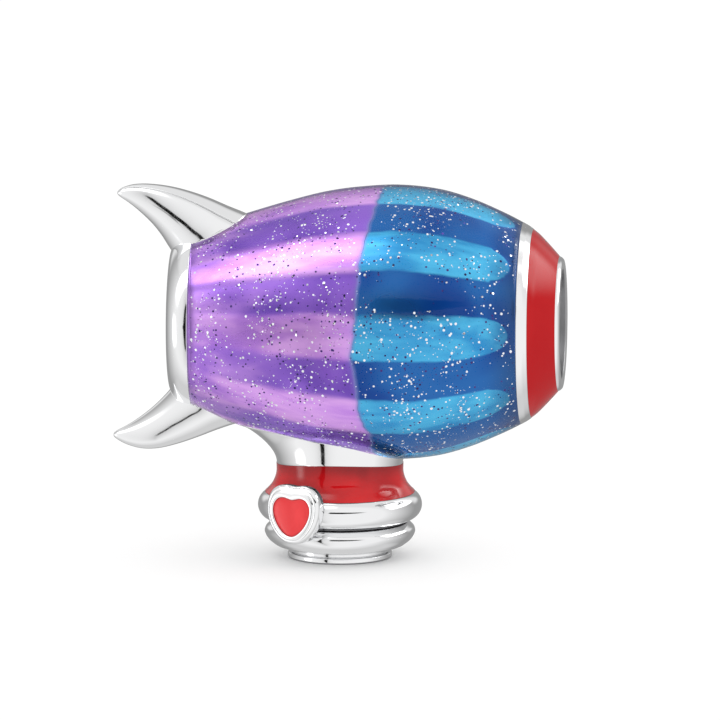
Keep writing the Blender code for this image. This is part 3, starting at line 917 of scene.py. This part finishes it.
# fine groove, then the rim
steps.append((w - badge["groove"], h - 2 * badge["groove"], -0.075, 0.12))
across, down = w - rim - hw - roll, h - 2 * rim - hh - 2 * roll
for i in range(1, 7):
    turn = 0.5 * math.pi * i / 6
    share = 1 - math.cos(turn)
    steps.append((w - rim - across * share, h - 2 * rim - down * share,
                  roll * (math.sin(turn) - 1), 0.14 + 0.66 * i / 6))
for i in range(1, 7):  # roll into the pocket
    turn = 0.5 * math.pi * i / 6
    inset = roll * math.sin(turn)
    steps.append((hw + roll - inset, hh + 2 * (roll - inset),
                  -roll * (1 - math.cos(turn)), 0.8 + 0.2 * i / 6))
steps += [(hw, hh, -0.12, 1), (hw, hh, -badge["pocket"], 1), (hw * 0.5, hh * 0.5, -badge["pocket"], 1)]
vertices, faces = ringsToMesh([badgeRing(*step) for step in steps])
piece = newPiece("heart_frame_polished", vertices, faces, silver, ["heart_frame"])
outward(piece)
seatBadge(piece)
steps = [(hw + 0.01, hh + 0.02, -0.14, 1), (hw + 0.01, hh + 0.02, -0.085, 1)]
for share, forward in ((0.97, -0.068), (0.9, -0.056), (0.7, -0.044), (0.45, -0.037), (0.2, -0.034)):
    steps.append((hw * share, hh * share, forward, 1))
vertices, faces = ringsToMesh([badgeRing(*step) for step in steps])
piece = newPiece("heart_red", vertices, faces, heartRed, ["heart_enamel"])
outward(piece)
seatBadge(piece)
print("heart badge made")


# Studio light and floor

studio = {  # strengths; heights and azimuths in degrees, azimuth 0 in front and positive to the right
    "front": 1.2, "back": 0.42, "above": 1.05, "below": 0.85,
    "strip": 2.4,  # overhead towards the front left
    "boxes": (  # strength, heights, softness, azimuths, softness
        (5.5, (22, 44), (6, 8), (88, 138), (8, 8)), (3.6, (-18, 2), (8, 8), (-78, -66), (7, 7)),
    ),
    "backBoxes": (0.6, (8, 40), (6, 8), (138, 158), (8, 6)),  # one on each side
    "cross": -27.0, "crossHalf": (4.2, 0.5), "crossHeights": (-44, 31),  # azimuth of a dark upright
    "horizon": -2.0, "gapHalf": (3.0, 0.6), "gapAzimuths": (-34, -25),  # height of a dark gap across it
    "shade": 0.4, "shadeHeights": (-60, 50),  # softer dark beside the upright
    "bar": 23.0, "barHalf": 5.8,  # height of a dark bar in front
    "dimmest": 0.008,  # share of light left in the dark gaps
    "even": 1.15,  # plain light for matt surfaces
    "floorRadius": 1.5, "floorCorners": 96,
}


def studioWorld():
    world = bpy.data.worlds.new("studio")
    bpy.context.scene.world = world
    world.cycles.sampling_method = "NONE"  # so that each kind of ray gets its own light below
    world.use_nodes = True
    tree = world.node_tree
    tree.nodes.clear()
    place = addNode(tree, "ShaderNodeTexCoord")
    parts = addNode(tree, "ShaderNodeSeparateXYZ")
    tree.links.new(place.outputs["Generated"], parts.inputs[0])
    x, y, z = parts.outputs
    toFront = mathNode(tree, "MULTIPLY", y, -1.0)
    degrees = 180 / math.pi
    azimuth = mathNode(tree, "MULTIPLY", mathNode(tree, "ARCTAN2", x, toFront), degrees)
    height = mathNode(tree, "MULTIPLY", mathNode(tree, "ARCSINE", z), degrees)

    def product(*values):
        total = values[0]
        for value in values[1:]:
            total = mathNode(tree, "MULTIPLY", total, value)
        return total

    def between(value, span, soft):
        return product(mapRange(tree, value, span[0] - soft[0], span[0] + soft[0], 0, 1),
                       mapRange(tree, value, span[1] - soft[1], span[1] + soft[1], 1, 0))

    def softBox(across, strength, heights, heightSoft, azimuths, azimuthSoft):
        return product(between(height, heights, heightSoft),
                       between(across, azimuths, azimuthSoft), strength)

    def awayFrom(value, centre):
        return mathNode(tree, "ABSOLUTE", mathNode(tree, "SUBTRACT", value, centre))

    def fading(distance, rate):
        return mathNode(tree, "EXPONENT", mathNode(tree, "MULTIPLY", distance, -rate))

    def within(distance, half, soft):
        return mapRange(tree, mathNode(tree, "SUBTRACT", distance, half), -soft, soft, 1, 0)

    level = mapRange(tree, toFront, -0.7, 0.35, studio["back"], studio["front"], "LINEAR")
    level = mathNode(tree, "MAXIMUM", level, mapRange(tree, z, 0.35, 0.8, 0.0, studio["above"]))
    level = mathNode(tree, "MAXIMUM", level, mapRange(tree, z, -0.8, -0.35, studio["below"], 0.0))
    strip = product(between(toFront, (0.17, 0.47), (0.08, 0.1)), between(x, (-0.8, -0.12), (0.15, 0.14)),
                    mapRange(tree, z, 0.2, 0.45, 0.0, 1.0), studio["strip"])
    lights = [strip] + [softBox(azimuth, *box) for box in studio["boxes"]]
    lights.append(softBox(mathNode(tree, "ABSOLUTE", azimuth), *studio["backBoxes"]))
    for box in lights:
        level = mathNode(tree, "ADD", level, box)

    # dark gaps, which polished silver shows as thin black lines
    fromCross = awayFrom(azimuth, studio["cross"])
    fromHorizon = awayFrom(height, studio["horizon"])
    half = mathNode(tree, "MULTIPLY_ADD", fading(fromHorizon, 0.04), *studio["crossHalf"])
    upright = product(within(fromCross, half, 0.7), between(height, studio["crossHeights"], (8, 7)))
    shade = product(fading(fromCross, 0.12), between(height, studio["shadeHeights"], (15, 15)),
                    studio["shade"])
    half = mathNode(tree, "MULTIPLY_ADD", fading(fromCross, 0.1), *studio["gapHalf"])
    gap = product(within(fromHorizon, half, 0.6), between(azimuth, studio["gapAzimuths"], (4, 2)))
    half = mathNode(tree, "MINIMUM", mapRange(tree, azimuth, 8, 52, studio["barHalf"], 0.8, "LINEAR"),
                    mapRange(tree, azimuth, -14, -10, -1.5, studio["barHalf"], "LINEAR"))
    bar = product(within(awayFrom(height, studio["bar"]), half, 0.8),
                  mapRange(tree, azimuth, 30, 47, 1.0, 0.0))
    dark = upright
    for other in (shade, gap, bar):
        dark = mathNode(tree, "MAXIMUM", dark, other)
    left = mapRange(tree, dark, 0, 1, 1.0, studio["dimmest"], "LINEAR")
    level = mathNode(tree, "MULTIPLY", level, left)

    mirrored = addNode(tree, "ShaderNodeBackground")
    tree.links.new(level, mirrored.inputs["Strength"])
    # matt surfaces get even light, and the backdrop is white
    ray = addNode(tree, "ShaderNodeLightPath")
    light = mirrored
    for kind, strength in (("Is Diffuse Ray", studio["even"]), ("Is Camera Ray", 1.0)):
        plain = addNode(tree, "ShaderNodeBackground", Strength=strength, Color=(1.0, 1.0, 1.0, 1.0))
        choose = addNode(tree, "ShaderNodeMixShader")
        tree.links.new(ray.outputs[kind], choose.inputs[0])
        tree.links.new(light.outputs[0], choose.inputs[1])
        tree.links.new(plain.outputs[0], choose.inputs[2])
        light = choose
    out = addNode(tree, "ShaderNodeOutputWorld")
    tree.links.new(light.outputs[0], out.inputs["Surface"])


def studioFloor():
    count = studio["floorCorners"]
    radius = studio["floorRadius"]
    turns = [2 * math.pi * i / count for i in range(count)]
    vertices = [(radius * math.cos(turn), radius * math.sin(turn), -0.00001) for turn in turns]
    mesh = bpy.data.meshes.new("studio_floor")
    mesh.from_pydata(vertices, [], [tuple(range(count))])
    floor = bpy.data.objects.new("studio_floor", mesh)
    bpy.context.scene.collection.objects.link(floor)
    material, tree, shader = newMaterial("pale_floor")
    place = addNode(tree, "ShaderNodeTexCoord")
    grain = addNode(tree, "ShaderNodeTexNoise", Scale=60.0, Detail=4.0)
    tree.links.new(place.outputs["Object"], grain.inputs["Vector"])
    tone = mixColours(tree, grain.outputs["Fac"], (0.895, 0.895, 0.895), (0.91, 0.91, 0.91))
    tree.links.new(tone, shader.inputs["Base Color"])
    shader.inputs["Roughness"].default_value = 0.9
    shader.inputs["Specular IOR Level"].default_value = 0.0
    mesh.materials.append(material)
    floor.visible_glossy = False
    floor.visible_transmission = False


studioWorld()
studioFloor()
bpy.context.scene.view_settings.view_transform = "Standard"
print("studio made")


# Camera

view = {
    "azimuth": math.radians(4.2), "height": math.radians(9.5), "lens": 1500.0, "distance": 1.239,
    "pixel": 0.0000413, "right": 20.0, "up": 195.8,  # pixel is in metres, right and up are in pixels
}
a, e = view["azimuth"], view["height"]
right = Vector((math.cos(a), math.sin(a), 0.0))
up = Vector((-math.sin(a) * math.sin(e), math.cos(a) * math.sin(e), math.cos(e)))
back = Vector((math.sin(a) * math.cos(e), -math.cos(a) * math.cos(e), math.sin(e)))
data = bpy.data.cameras.new("camera")
data.lens = view["lens"]
data.sensor_width = 36.0
data.clip_start = 0.01
data.clip_end = 10.0
camera = bpy.data.objects.new("camera", data)
bpy.context.scene.collection.objects.link(camera)
aim = (right * view["right"] + up * view["up"]) * view["pixel"]
camera.location = aim + back * view["distance"]
camera.rotation_euler = Matrix((right, up, back)).transposed().to_euler()
bpy.context.scene.camera = camera
print("camera placed")
